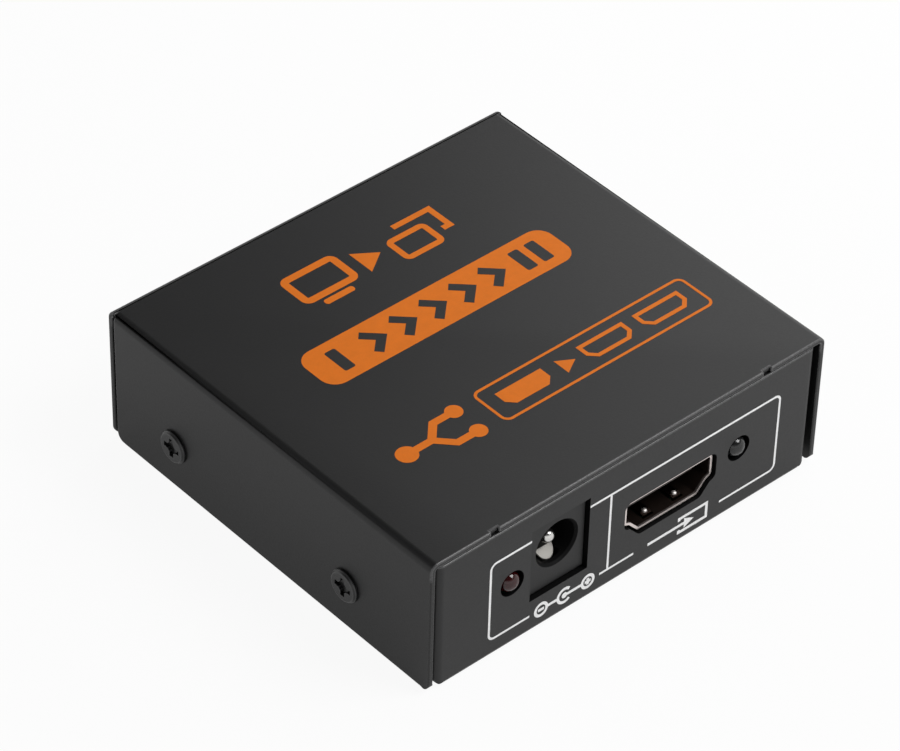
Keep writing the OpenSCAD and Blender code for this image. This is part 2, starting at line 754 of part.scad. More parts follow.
module dc_jack_body() {
    color("#222223") at_jack() difference() {
        union() {
            box([-jack_w / 2, 0, 0], [jack_w / 2, jack_front_l, jack_h]);
            along_y(jack_front_l - cut, jack_l - jack_platform_l)
                translate([0, jack_axis]) circle(d = jack_barrel_d);
            box([-jack_w / 2, jack_front_l - cut, 0], [jack_w / 2, jack_l, jack_platform_h]);
        }
        translate([0, 0, jack_axis]) rotate([-90, 0, 0]) {
            cylinder(d = jack_bore_d, h = jack_bore_l);
            cylinder(d1 = jack_mouth_d, d2 = jack_bore_d, h = jack_bevel);
            cylinder(d = pin_root_d + 2 * pin_gap, h = jack_l + cut);
        }
        box([-window_half, leaf_tip - leaf_gap, jack_floor],
            [window_half, anchor_y + terminal_t + leaf_gap, window_top]);
        box([-terminal_w / 2 - pin_gap, terminal_y - pin_gap, -cut],
            [terminal_w / 2 + pin_gap, terminal_y + terminal_t + pin_gap, jack_h]);
        box([-leaf_w / 2 - pin_gap, anchor_y - pin_gap, -cut],
            [leaf_w / 2 + pin_gap, anchor_y + terminal_t + pin_gap, jack_floor + cut]);
        box([-jack_w / 2 - cut, switch_y - switch_finger_w / 2 - pin_gap, switch_z - pin_gap],
            [-window_half + cut, switch_y + switch_finger_w / 2 + pin_gap, switch_z + switch_t + pin_gap]);
    }
}

module dc_jack_pin() {
    pin_r = pin_d / 2;
    root_y = jack_bore_l - pin_root_l;
    color("#cfcac2") at_jack() union() {
        translate([0, 0, jack_axis]) rotate([-90, 0, 0]) {
            translate([0, 0, pin_recess + pin_r]) sphere(pin_r);
            translate([0, 0, pin_recess + pin_r]) cylinder(r = pin_r, h = root_y - pin_recess - pin_r);
            translate([0, 0, root_y]) cylinder(d = pin_root_d, h = terminal_y - root_y + terminal_t / 2);
        }
        box([-terminal_w / 2, terminal_y, lead_z - board_top],
            [terminal_w / 2, terminal_y + terminal_t, jack_axis + pin_root_d / 2]);
    }
}

// Leaf with a round end, straight from its root to the bump, then down to its tip
module dc_jack_spring() {
    tip_z = bump_z - leaf_drop;
    tip_r = leaf_w / 2;
    color("#dcd8d2") at_jack() intersection() {
        along_x(-leaf_w, leaf_w)
            polygon([[leaf_root, leaf_root_z], [leaf_bump, bump_z], [leaf_tip - cut, tip_z - cut * tip_slope],
                [leaf_tip - cut, tip_z + leaf_t - cut * tip_slope], [leaf_bump, bump_z + leaf_t],
                [leaf_root, leaf_root_z + leaf_t]]);
        linear_extrude(jack_h) {
            translate([0, leaf_tip + tip_r]) circle(tip_r);
            translate([-tip_r, leaf_tip + tip_r]) square([leaf_w, leaf_root - leaf_tip]);
        }
    }
}

module dc_jack_spring_anchor() {
    color("#cfcac2") at_jack()
        box([-leaf_w / 2, anchor_y, lead_z - board_top], [leaf_w / 2, anchor_y + terminal_t, anchor_h]);
}

module dc_jack_switch_contact() {
    outer = -jack_w / 2 - pin_gap;
    color("#cfcac2") at_jack() union() {
        box([outer - switch_t, switch_y - switch_w / 2, lead_z - board_top],
            [outer, switch_y + switch_w / 2, switch_z + switch_t]);
        box([outer - switch_t, switch_y - switch_finger_w / 2, switch_z],
            [outer + switch_reach + switch_t, switch_y + switch_finger_w / 2, switch_z + switch_t]);
    }
}

// Round lamp whose tip points at -Y
module lamp_lens() {
    r = lamp_d / 2;
    rotate([-90, 0, 0]) union() {
        translate([0, 0, r]) sphere(r);
        translate([0, 0, r]) cylinder(r = r, h = lamp_l - r);
        translate([0, 0, lamp_l - lamp_flange_t]) cylinder(d = lamp_flange_d, h = lamp_flange_t);
    }
}

module power_led() {
    color("#3a0c0e") at_lamp(LAMPS[0]) lamp_lens();
}

module signal_led() {
    color("#6d6f6e") at_lamp(LAMPS[1]) lamp_lens();
}

module output_1_led() {
    color("#6d6f6e") at_lamp(LAMPS[2]) lamp_lens();
}

module output_2_led() {
    color("#6d6f6e") at_lamp(LAMPS[3]) lamp_lens();
}

module led_leads() {
    bend_y = lamp_l + lead_run;
    h = lead_t / 2;
    color("silver") for (p = LAMPS, m = [-1, 1])
        at_lamp(p) translate([m * lead_pitch / 2, 0, 0]) union() {
            box([-h, lamp_l, -h], [h, bend_y + h, h]);
            box([-h, bend_y - h, lead_z - lamp_z], [h, bend_y + h, h]);
        }
}

module on_board(place) {
    translate([place.x, place.y, board_top]) children();
}

module splitter_chip() {
    color("#1d1d1f") on_board([chip_x, 0]) difference() {
        translate([-chip_w / 2, -chip_w / 2, 0]) cube([chip_w, chip_w, chip_h]);
        translate([chip_dot_d - chip_w / 2, chip_dot_d - chip_w / 2, chip_h - pad_t])
            cylinder(d = chip_dot_d, h = pad_t + cut);
    }
}

// Moulded package that stands on its leads
module package(l, w, h) {
    translate([-l / 2, -w / 2, pad_t]) cube([l, w, h - pad_t]);
}

module memory_chip() {
    color("#1d1d1f") on_board([memory_x, memory_y]) package(memory_l, memory_w, memory_h);
}

// Flat lead, half of it under a package's edge
module flat_lead(x, edge, w) {
    translate([x - w / 2, edge - pad_l / 2, 0]) cube([w, pad_l, pad_t]);
}

module memory_chip_leads() {
    color("silver") on_board([memory_x, memory_y]) for (m = [-1, 1], x = row(memory_lead_n, memory_pitch))
        flat_lead(x, m * memory_w / 2, pad_w);
}

module voltage_regulator() {
    color("#1d1d1f") on_board([regulator_x, regulator_y]) package(regulator_l, regulator_w, regulator_h);
}

module voltage_regulator_leads() {
    color("silver") on_board([regulator_x, regulator_y]) {
        for (x = row(3, regulator_pitch)) flat_lead(x, -regulator_w / 2, 2 * pad_w);
        flat_lead(0, regulator_w / 2, tab_w);
    }
}

module power_inductor() {
    color("#4a4a4c") on_board([inductor_x, inductor_y]) difference() {
        translate([-inductor_w / 2, -inductor_w / 2, 0]) cube([inductor_w, inductor_w, inductor_h]);
        translate([0, 0, inductor_h - pad_t]) linear_extrude(pad_t + cut) difference() {
            circle(d = drum_d + 2 * pad_t);
            circle(d = drum_d);
        }
    }
}

module capacitor_cans() {
    color("silver") for (y = row(2, can_spacing)) on_board([can_x, can_y + y])
        translate([0, 0, can_base_h]) cylinder(d = can_d, h = can_h);
}

module capacitor_bases() {
    color("#202022") for (y = row(2, can_spacing)) on_board([can_x, can_y + y])
        translate([-can_base_w / 2, -can_base_w / 2, 0]) cube([can_base_w, can_base_w, can_base_h]);
}

module crystal() {
    r = crystal_w / 2;
    run = crystal_l / 2 - r;
    color("silver") on_board([crystal_x, crystal_y]) union() {
        translate([-run, -r, 0]) cube([2 * run, crystal_w, crystal_h]);
        for (m = [-1, 1]) translate([m * run, 0, 0]) cylinder(r = r, h = crystal_h);
    }
}

module chip_resistors() {
    color("#26262a") for (p = PORTS, x = row(resistor_n, resistor_pitch)) on_board(p) rotate(p.z)
        translate([x - passive_w / 2, resistor_y - passive_l / 2, 0])
            cube([passive_w, passive_l, resistor_h]);
}

module chip_capacitors() {
    ring = chip_w / 2 + part_gap + passive_w / 2;
    color("tan") on_board([chip_x, 0]) for (a = [0:90:270], x = row(capacitor_n, capacitor_pitch))
        rotate(a) translate([x - passive_l / 2, ring - passive_w / 2, 0])
            cube([passive_l, passive_w, capacitor_h]);
}

module port_protectors() {
    color("#1d1d1f") for (p = PORTS, x = row(2, protector_spacing)) on_board(p) rotate(p.z)
        translate([x - protector_l / 2, protector_y - protector_w / 2, 0])
            cube([protector_l, protector_w, protector_h]);
}

top_cover();
base_tray();
cover_screws();
board_standoffs();
board_screws();
circuit_board();
port_shell(PORTS[0]);  // input_port_shell
port_insulator(PORTS[0]);  // input_port_insulator
port_contacts(PORTS[0]);  // input_port_contacts
port_upper_springs(PORTS[0]);  // input_port_upper_springs
port_lower_springs(PORTS[0]);  // input_port_lower_springs
port_shell(PORTS[1]);  // output_1_port_shell
port_insulator(PORTS[1]);  // output_1_port_insulator
port_contacts(PORTS[1]);  // output_1_port_contacts
port_upper_springs(PORTS[1]);  // output_1_port_upper_springs
port_lower_springs(PORTS[1]);  // output_1_port_lower_springs
port_shell(PORTS[2]);  // output_2_port_shell
port_insulator(PORTS[2]);  // output_2_port_insulator
port_contacts(PORTS[2]);  // output_2_port_contacts
port_upper_springs(PORTS[2]);  // output_2_port_upper_springs
port_lower_springs(PORTS[2]);  // output_2_port_lower_springs
dc_jack_body();
dc_jack_pin();
dc_jack_spring();
dc_jack_spring_anchor();
dc_jack_switch_contact();
power_led();
signal_led();
output_1_led();
output_2_led();
led_leads();
splitter_chip();
memory_chip();
memory_chip_leads();
voltage_regulator();
voltage_regulator_leads();
power_inductor();
capacitor_cans();
capacitor_bases();
crystal();
chip_resistors();
chip_capacitors();
port_protectors();
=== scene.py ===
"""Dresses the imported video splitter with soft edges, finishes and prints, and sets its stage."""

import json
import math

import bmesh
import bpy
import numpy as np
from bpy.props import FloatProperty, FloatVectorProperty, PointerProperty
from mathutils import Matrix, Vector


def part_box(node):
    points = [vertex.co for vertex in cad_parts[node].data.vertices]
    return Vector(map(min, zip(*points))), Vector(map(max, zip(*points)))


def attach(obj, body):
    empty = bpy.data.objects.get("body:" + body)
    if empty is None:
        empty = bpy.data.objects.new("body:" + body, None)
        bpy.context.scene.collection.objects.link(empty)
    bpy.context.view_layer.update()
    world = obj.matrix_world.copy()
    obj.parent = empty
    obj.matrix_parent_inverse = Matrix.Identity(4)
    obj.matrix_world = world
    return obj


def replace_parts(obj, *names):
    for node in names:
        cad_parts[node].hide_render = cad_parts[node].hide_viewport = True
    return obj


bl_info = {
    "name": "Video splitter",
    "version": (1, 0, 0),
    "blender": (4, 5, 0),
    "location": "View3D > Sidebar > Splitter",
    "description": "Dresses a folded-steel video splitter and sets its stage",
    "category": "Object",
}

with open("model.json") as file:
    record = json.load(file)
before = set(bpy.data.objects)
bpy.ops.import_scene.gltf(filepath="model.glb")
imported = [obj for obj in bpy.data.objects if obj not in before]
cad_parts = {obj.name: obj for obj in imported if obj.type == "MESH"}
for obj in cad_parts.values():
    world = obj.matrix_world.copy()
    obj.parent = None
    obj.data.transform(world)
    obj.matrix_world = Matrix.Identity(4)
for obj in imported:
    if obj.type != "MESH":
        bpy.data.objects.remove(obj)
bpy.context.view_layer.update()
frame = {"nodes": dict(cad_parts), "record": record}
RECORD = frame["record"]
BODY_OF = {node: body for body, nodes in RECORD["behaviour"]["bodies"].items() for node in nodes}
CASE = "splitter"
PORTS = ("input_port", "output_1_port", "output_2_port")

MM = 0.001
# Points closer than this are one point
MERGE = 1e-7
# Faces that turn by less than this are flat, and edges that turn by more are sharp
FLAT_ANGLE = math.radians(0.5)
SHARP_ANGLE = math.radians(30)
# Points in a drawn quarter circle, and in a drawn circle
CORNER_STEPS = 9
CIRCLE_STEPS = 48
# How much higher each strip of ink lies than the one before it, as a share of the ink's height
INK_STEP = 0.06
# Specular levels of the coat, the jack's moulding, ink, and the opening walls and jack's bore,
# painted dark as shade, that hardly shine
COAT_SHINE = 0.42
MOULD_SHINE = 0.32
INK_SHINE = 0.15
SHADE_SHINE = 0.08
# How far colour and roughness vary over a moulded or coated surface, and roughness over ink
DRIFT = 0.15
GRAIN_ROUGH = 0.16
INK_ROUGH = 0.2
# Width of the streaks in metal, and the scale of the noise behind them where they run along Y
STREAK = 0.25 * MM
ALONG_Y = (1.0, 0.1, 1.0)

# Places in millimetres whose edges stay sharp, and whose walls facing sideways are painted dark as shade.
# The openings of the front panel and the rear flange lie past a depth, within a width and between two
# heights
OPENINGS_DEPTH = 30.1
OPENINGS_WIDTH = 28.0
OPENINGS_LOW = 2.0
OPENINGS_HIGH = 19.0
# The tray's crowded front feet lie before a depth, past a width and below a height
FEET_DEPTH = -29.8
FEET_WIDTH = 29.8
FEET_HEIGHT = 1.4
# The jack's bore, whose edges stay sharp and which is painted dark as shade, starts behind its face, and
# reaches this far from the axis of the pin
BORE_START = 0.01
BORE_REACH = 3.6
PIN_AXIS = next(Vector(row["pos_m"]) / MM for row in RECORD["mounts"] if row["name"] == "dc_pin")


# Node trees

class Wire:
    """A value in a node tree. Arithmetic on it adds Math nodes."""

    def __init__(self, graph, socket):
        self.graph = graph
        self.socket = socket

    def math(self, operation, first, second):
        return self.graph.node("ShaderNodeMath", {"operation": operation}, {0: first, 1: second})

    def __add__(self, other):
        return self.math("ADD", self, other)

    def __rsub__(self, other):
        return self.math("SUBTRACT", other, self)

    def __mul__(self, other):
        return self.math("MULTIPLY", self, other)

    def __gt__(self, other):
        return self.math("GREATER_THAN", self, other)

    __radd__ = __add__
    __rmul__ = __mul__


class Graph:
    """A node tree under construction."""

    def __init__(self, owner):
        owner.use_nodes = True
        self.owner = owner
        self.tree = owner.node_tree
        self.tree.nodes.clear()

    def node(self, kind, settings=None, values=None, output=0):
        """Adds a node, sets its settings first and then its sockets, and returns one of its outputs."""
        made = self.tree.nodes.new(kind)
        for key, value in (settings or {}).items():
            setattr(made, key, value)
        for key, value in (values or {}).items():
            if isinstance(value, Wire):
                self.tree.links.new(value.socket, made.inputs[key])
            else:
                made.inputs[key].default_value = value
        return Wire(self, made.outputs[output] if made.outputs else None)

    def place(self):
        """Where a point lies in its object, in metres."""
        return self.node("ShaderNodeTexCoord", output="Object")

    def noise(self, at, size, detail=2.0):
        """Soft noise from 0 to 1 whose features are about size metres wide."""
        return self.node("ShaderNodeTexNoise", None, {"Vector": at, "Scale": 1 / size, "Detail": detail})

    def streaks(self, at, stretch):
        """Noise drawn out into streaks along the axis whose scale is below 1."""
        along = self.node("ShaderNodeMapping", None, {"Vector": at, "Scale": stretch})
        return self.noise(along, STREAK, 4.0)

    def apart(self, at, centre, axes):
        """Distance from a centre in metres, measured along the axes that are 1."""
        gap = self.node("ShaderNodeVectorMath", {"operation": "SUBTRACT"}, {0: at, 1: centre})
        flat = self.node("ShaderNodeVectorMath", {"operation": "MULTIPLY"}, {0: gap, 1: axes})
        return self.node("ShaderNodeVectorMath", {"operation": "LENGTH"}, {0: flat}, "Value")

    def ramp(self, value, start, end):
        """Smooth step from 0 at the start to 1 at the end."""
        return self.node("ShaderNodeMapRange", {"interpolation_type": "SMOOTHSTEP"},
                         {"Value": value, "From Min": start, "From Max": end})

    def blend(self, factor, first, second):
        """Colour that goes from the first to the second with the factor."""
        return self.node("ShaderNodeMix", {"data_type": "RGBA"}, {0: factor, 6: first, 7: second}, 2)

    def relief(self, height, depth):
        """Normal of a surface whose height of 0 to 1 stands for a depth in metres."""
        return self.node("ShaderNodeBump", None, {"Height": height, "Distance": depth, "Strength": 1.0})

    def surface(self, **values):
        """Ends a material in one Principled shader. Underscores in names stand for spaces."""
        sockets = {key.replace("_", " "): value for key, value in values.items()}
        shader = self.node("ShaderNodeBsdfPrincipled", None, sockets)
        self.node("ShaderNodeOutputMaterial", None, {"Surface": shader})
        return self.owner


def rgba(colour, share=1.0):
    """Colour with a full alpha, darkened or lightened by a share."""
    return (*(min(1.0, share * c) for c in colour), 1.0)


def about(middle, spread, noise):
    """Value that a noise of 0 to 1 moves about a middle, over a spread."""
    return middle - spread / 2 + spread * noise


# Finishes

def speckled(name, colour, rough, size, depth, **values):
    """Moulded or coated surface: fine grain in relief, gloss that varies with it, colour that drifts."""
    graph = Graph(bpy.data.materials.new(name))
    at = graph.place()
    grain = graph.noise(at, size, 3.0)
    drift = graph.noise(at, 40 * size)
    return graph.surface(
        Base_Color=graph.blend(drift, rgba(colour, 1 - DRIFT), rgba(colour, 1 + DRIFT)),
        Roughness=about(rough, GRAIN_ROUGH, grain),
        Normal=graph.relief(grain, depth),
        **values)


def highlighted_edge(name, colour, edge_highlight, height, rough, size, depth):
    """Coat along the sheet's edges, painted lighter above a height in metres as a highlight on the top
    edges, partly standing for wear.
    """
    graph = Graph(bpy.data.materials.new(name))
    at = graph.place()
    grain = graph.noise(at, size, 3.0)
    level = graph.node("ShaderNodeSeparateXYZ", None, {0: at}, 2)
    # Painted highlight: the edge coat turns lighter above the height
    highlight = graph.ramp(level + size * grain, height - MM, height)
    return graph.surface(
        Base_Color=graph.blend(highlight, rgba(colour), rgba(edge_highlight)),
        Roughness=about(rough, GRAIN_ROUGH, grain),
        Specular_IOR_Level=COAT_SHINE,
        Normal=graph.relief(grain, depth))


def plated(name, colour, rough, stretch):
    """Rolled or plated metal: streaks in relief along one axis, and a little dulling in patches."""
    graph = Graph(bpy.data.materials.new(name))
    at = graph.place()
    streak = graph.streaks(at, stretch)
    patch = graph.noise(at, 2 * MM)
    return graph.surface(
        Base_Color=graph.blend(patch, rgba(colour, 0.86), rgba(colour, 1.04)),
        Metallic=1.0,
        Roughness=rough - 0.06 + 0.08 * streak + 0.08 * patch,
        Normal=graph.relief(streak, 0.4e-6))


def shell_with_inner_shade(name, colour, inner_shade, mouth):
    """Shell metal, bright at a port's mouth, at a y in metres, and painted dark behind it as shade inside
    the port.
    """
    graph = Graph(bpy.data.materials.new(name))
    at = graph.place()
    depth = graph.apart(at, (0.0, mouth, 0.0), (0.0, 1.0, 0.0))
    streak = graph.streaks(at, ALONG_Y)
    patch = graph.noise(at, 1.5 * MM)
    # The rim ends along an uneven line between these depths
    near, far = 0.1 * MM, 0.4 * MM
    inside = graph.ramp(depth + near * patch, near, far)
    # Painted shade inside the port, mottled
    dark = graph.blend(patch, rgba(inner_shade, 0.7), rgba(inner_shade, 1.3))
    return graph.surface(
        Base_Color=graph.blend(inside, rgba(colour), dark),
        Metallic=1.0,
        Roughness=0.3 + 0.12 * streak + 0.12 * inside,
        Normal=graph.relief(streak, 0.3e-6))


def strip_with_pip_highlights(name, colour, inner_shade, pips, radius):
    """Spring strip, painted dark as shade inside its port, with two pips painted bright and matt as
    highlights.
    """
    graph = Graph(bpy.data.materials.new(name))
    at = graph.place()
    scuff = graph.noise(at, 0.2 * MM, 3.0)
    near = [graph.apart(at, pip, (1.0, 1.0, 0.0)) + 0.06 * MM * scuff for pip in pips]
    nearest = graph.node("ShaderNodeMath", {"operation": "MINIMUM"}, {0: near[0], 1: near[1]})
    # Painted highlight on each pip
    highlight = 1 - graph.ramp(nearest, 0.75 * radius, 1.15 * radius)
    dark = graph.blend(scuff, rgba(inner_shade, 0.7), rgba(inner_shade, 1.3))
    return graph.surface(
        Base_Color=graph.blend(highlight, dark, rgba(colour)),
        Metallic=1.0,
        Roughness=0.26 + 0.08 * scuff + 0.24 * highlight,
        Normal=graph.relief(scuff, 0.3e-6))


def clear_lens(name, colour, clear):
    """Cast lens: tinted, clear to a share, faintly clouded, with a slightly uneven skin."""
    graph = Graph(bpy.data.materials.new(name))
    at = graph.place()
    haze = graph.noise(at, 0.8 * MM)
    return graph.surface(
        Base_Color=graph.blend(haze, rgba(colour, 0.8), rgba(colour, 1.2)),
        Roughness=0.05 + 0.05 * haze,
        Transmission_Weight=clear,
        IOR=1.53,
        Normal=graph.relief(graph.noise(at, 0.6 * MM), 1e-6))


def printed(name, colour):
    """Screen-print ink: even colour that thins a little over the grain of the coat below it."""
    graph = Graph(bpy.data.materials.new(name))
    at = graph.place()
    grain = graph.noise(at, 0.28 * MM, 3.0)
    thin = graph.noise(at, 1.2 * MM, 4.0)
    return graph.surface(
        Base_Color=graph.blend(0.6 * thin + 0.4 * grain, rgba(colour, 0.86), rgba(colour, 1.12)),
        Roughness=about(0.5, INK_ROUGH, grain),
        Specular_IOR_Level=INK_SHINE,
        Normal=graph.relief(grain, 6e-6))


def board_mask(name, colour, copper):
    """Green mask over copper: runs of track stand out a little lighter, and pads show bare metal."""
    graph = Graph(bpy.data.materials.new(name))
    at = graph.place()
    cells = graph.node("ShaderNodeTexVoronoi", {"feature": "DISTANCE_TO_EDGE"},
                       {"Vector": at, "Scale": 350.0})
    track = 1 - (cells > 0.12)
    weave = graph.noise(at, 0.4 * MM)
    mask = graph.blend(track, rgba(colour, 0.8), rgba(colour, 1.7))
    dots = graph.node("ShaderNodeTexVoronoi", None, {"Vector": at, "Scale": 600.0, "Randomness": 0.6})
    pad = 1 - (dots > 0.14)
    return graph.surface(
        Base_Color=graph.blend(pad, mask, rgba(copper)),
        Metallic=pad,
        Roughness=0.3 + 0.15 * weave,
        Normal=graph.relief(track + 0.2 * weave, 8e-6))


# Meshes

def merged(node):
    """Points and triangles of a CAD node, whose loose corners at one place become one point."""
    mesh = frame["nodes"][node].data
    corners = np.empty(len(mesh.vertices) * 3, np.float32)
    mesh.vertices.foreach_get("co", corners)
    corners = corners.reshape(-1, 3)
    loops = np.empty(len(mesh.loops), np.int32)
    mesh.loops.foreach_get("vertex_index", loops)
    keys = np.round(corners / MERGE).astype(np.int64)
    _, first, same = np.unique(keys, axis=0, return_index=True, return_inverse=True)
    return corners[first], same.reshape(-1)[loops].reshape(-1, 3)


def skin(rows, columns, closed):
    """Quads round a tube of points, numbered row by row. If it is closed, its last row joins its first."""
    row, column = np.meshgrid(np.arange(rows if closed else rows - 1), np.arange(columns), indexing="ij")
    down, right = (row + 1) % rows, (column + 1) % columns
    corners = [(row, column), (down, column), (down, right), (row, right)]
    return np.stack([r * columns + c for r, c in corners], -1).reshape(-1, 4)


def make_piece(name, points, faces, materials, body):
    """Mesh object at the origin that rides on a body and takes its finish from a slot."""
    mesh = bpy.data.meshes.new(name)
    mesh.from_pydata(points.tolist(), [], faces.tolist())
    for material in materials:
        mesh.materials.append(material)
    piece = bpy.data.objects.new(name, mesh)
    bpy.context.scene.collection.objects.link(piece)
    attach(piece, body)
    return piece


def reshape(piece, work):
    """Runs some work on a piece's mesh in edit form, then smooths all but its sharp edges."""
    mesh = piece.data
    form = bmesh.new()
    form.from_mesh(mesh)
    work(form)
    form.to_mesh(mesh)
    form.free()
    mesh.shade_smooth()
    mesh.set_sharp_from_angle(angle=SHARP_ANGLE)


def close_seams(form):
    """Merges the points of seams and poles, and turns all faces outwards."""
    bmesh.ops.remove_doubles(form, verts=form.verts, dist=MERGE)
    bmesh.ops.recalc_face_normals(form, faces=form.faces)


def mark_ridges(form, sharp):
    """Joins triangles that lie in one plane, then gives each sharp edge that stands out a bevel weight
    of 1, unless its middle is at a place that stays sharp."""
    bmesh.ops.dissolve_limit(form, angle_limit=FLAT_ANGLE, verts=form.verts, edges=form.edges)
    weight = form.edges.layers.float.new("bevel_weight_edge")
    for edge in form.edges:
        middle = (edge.verts[0].co + edge.verts[1].co) / 2
        edge[weight] = float(not sharp(middle / MM) and edge.calc_face_angle_signed(0.0) > SHARP_ANGLE)


def in_panel(p):
    """Among the openings of the front panel or the rear flange, or at the tray's crowded front feet."""
    panel = abs(p.y) > OPENINGS_DEPTH and abs(p.x) < OPENINGS_WIDTH and OPENINGS_LOW < p.z < OPENINGS_HIGH
    return panel or (p.y < FEET_DEPTH and abs(p.x) > FEET_WIDTH and p.z < FEET_HEIGHT)


def soften(node, name, materials, width, segments=2, sharp=lambda p: False):
    """The shape of a CAD node with a small round along each sharp outer edge, in the last material."""
    points, triangles = merged(node)
    piece = make_piece(name, points, triangles, materials, BODY_OF[node])
    reshape(piece, lambda form: mark_ridges(form, sharp))
    bevel = piece.modifiers.new("soft_edges", "BEVEL")
    bevel.width = width
    bevel.segments = segments
    bevel.limit_method = "WEIGHT"
    bevel.use_clamp_overlap = False
    bevel.harden_normals = True
    bevel.material = len(materials) - 1
    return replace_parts(piece, node)


def dress(node, material):
    """Gives a CAD node a material."""
    mesh = frame["nodes"][node].data
    mesh.materials.clear()
    mesh.materials.append(material)


# Flat drawings, in millimetres on a panel

def stroke(points, width, closed=False):
    """Pen line: each point of a path moves half the width to both sides, along its neighbours' mitre."""
    path = np.asarray(points, float)
    step = np.roll(path, -1, 0) - path
    ahead = step if closed else np.vstack([step[:-1], step[-2:-1]])
    behind = np.roll(ahead, 1, 0) if closed else np.vstack([ahead[:1], ahead[:-1]])
    across = [np.c_[-d[:, 1], d[:, 0]] / np.linalg.norm(d, axis=1)[:, None] for d in (ahead, behind)]
    mitre = across[0] + across[1]
    mitre *= width / 2 / np.sum(mitre * across[0], 1)[:, None]
    return path + mitre, path - mitre, closed


def plate(x0, y0, x1, y1, r):
    """Filled rectangle with round corners: at a distance d from an end, both long edges draw in by
    r - sqrt(r^2 - (r - d)^2)."""
    turn = r * (1 - np.cos(np.linspace(0, np.pi / 2, CORNER_STEPS)))
    x = np.concatenate([x0 + turn, x1 - turn[::-1]])
    d = np.minimum(np.minimum(x - x0, x1 - x), r)
    inset = r - np.sqrt(r * r - (r - d) ** 2)
    return np.c_[x, y0 + inset], np.c_[x, y1 - inset], False


def disc(x, y, r):
    """Filled circle: a square plate whose corners have its own radius."""
    return plate(x - r, y - r, x + r, y + r, r)


def arc(x, y, r, start, end):
    """Points along part of a circle, from one angle to another in degrees."""
    steps = max(3, int(CIRCLE_STEPS * abs(end - start) / 360))
    angle = np.radians(np.linspace(start, end, steps))
    return np.c_[x + r * np.cos(angle), y + r * np.sin(angle)]


def ring(x, y, r, width):
    """Circle drawn with a pen."""
    return stroke(arc(x, y, r, 0, 360)[:-1], width, True)


def rounded(x0, y0, x1, y1, r, width):
    """Rectangle with round corners drawn with a pen."""
    corners = [(x1 - r, y1 - r, 0), (x0 + r, y1 - r, 90), (x0 + r, y0 + r, 180), (x1 - r, y0 + r, 270)]
    return stroke(np.vstack([arc(x, y, r, a, a + 90) for x, y, a in corners]), width, True)


def arrowhead(x, y, length, half):
    """Filled triangle that points to +x."""
    return np.array([(x, y - half), (x + length, y)]), np.array([(x, y + half), (x + length, y)]), False


def chevron(x, y, reach, half, width):
    """Open angle that points to +x."""
    return stroke([(x, y - half), (x + reach, y), (x, y + half)], width)


def socket_plan(x, y, w, h, cut):
    """Outline of a wide socket whose two lower corners are cut off."""
    plan = [(-w, h), (-w, cut - h), (cut - w, -h), (w - cut, -h), (w, cut - h), (w, h)]
    return np.array(plan) + (x, y)


def socket_plate(x, y, w, h, cut):
    """Filled socket: its lower edge falls by the cut near both ends, and its upper edge is straight."""
    xs = np.array([-w, cut - w, w - cut, w])
    low = np.array([cut - h, -h, -h, cut - h])
    return np.c_[x + xs, y + low], np.c_[x + xs, np.full(4, y + h)], False


def film(drawing, place, lift):
    """Ink: the two edges of each strip, sunk a little into the panel and raised by the lift, are the four
    corners of a profile that is carried along the strip. A quad closes each open end. Each strip lies
    a little higher than the one before it, so that none shares a face with another."""
    points, faces, count = [], [], 0
    for index, (left, right, closed) in enumerate(drawing):
        top = lift * (1 + INK_STEP * index)
        levels = [(left, -lift), (right, -lift), (right, top), (left, top)]
        section = np.stack([np.c_[edge, np.full(len(edge), level)] for edge, level in levels], 1)
        quads = skin(len(left), 4, closed)
        if not closed:
            last = 4 * len(left)
            quads = np.vstack([quads, [[0, 1, 2, 3], [last - 1, last - 2, last - 3, last - 4]]])
        points.append(section.reshape(-1, 3))
        faces.append(quads + count)
        count += 4 * len(left)
    return place(np.vstack(points)) * MM, np.vstack(faces)


def print_film(name, drawing, place, lift, material):
    """Piece of ink on the case."""
    points, faces = film(drawing, place, lift / MM)
    piece = make_piece(name, points, faces, [material], CASE)
    reshape(piece, close_seams)
    return piece


def on_top(p):
    """Drawing seen from above, its right at +X."""
    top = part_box("top_cover")[1].z / MM
    return np.c_[p[:, 0], p[:, 1], top + p[:, 2]]


def on_front(p):
    """Drawing seen from the front, its right at +X."""
    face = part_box("base_tray")[0].y / MM
    return np.c_[p[:, 0], face - p[:, 2], p[:, 1]]


def on_rear(p):
    """Drawing seen from behind, its right at -X."""
    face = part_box("top_cover")[1].y / MM
    return np.c_[-p[:, 0], face + p[:, 2], p[:, 1]]


# Settings

def metres(label, text, value):
    """Setting for a length."""
    return FloatProperty(name=label, description=text, default=value, min=0.0, unit="LENGTH", precision=5)


def number(label, text, value):
    """Setting for a plain number."""
    return FloatProperty(name=label, description=text, default=value)


def degrees(label, text, value):
    """Setting for an angle."""
    return FloatProperty(name=label, description=text, default=math.radians(value), subtype="ANGLE")


def tint(label, text, value):
    """Setting for a colour."""
    return FloatVectorProperty(name=label, description=text, default=value, subtype="COLOR",
                               min=0.0, max=1.0)


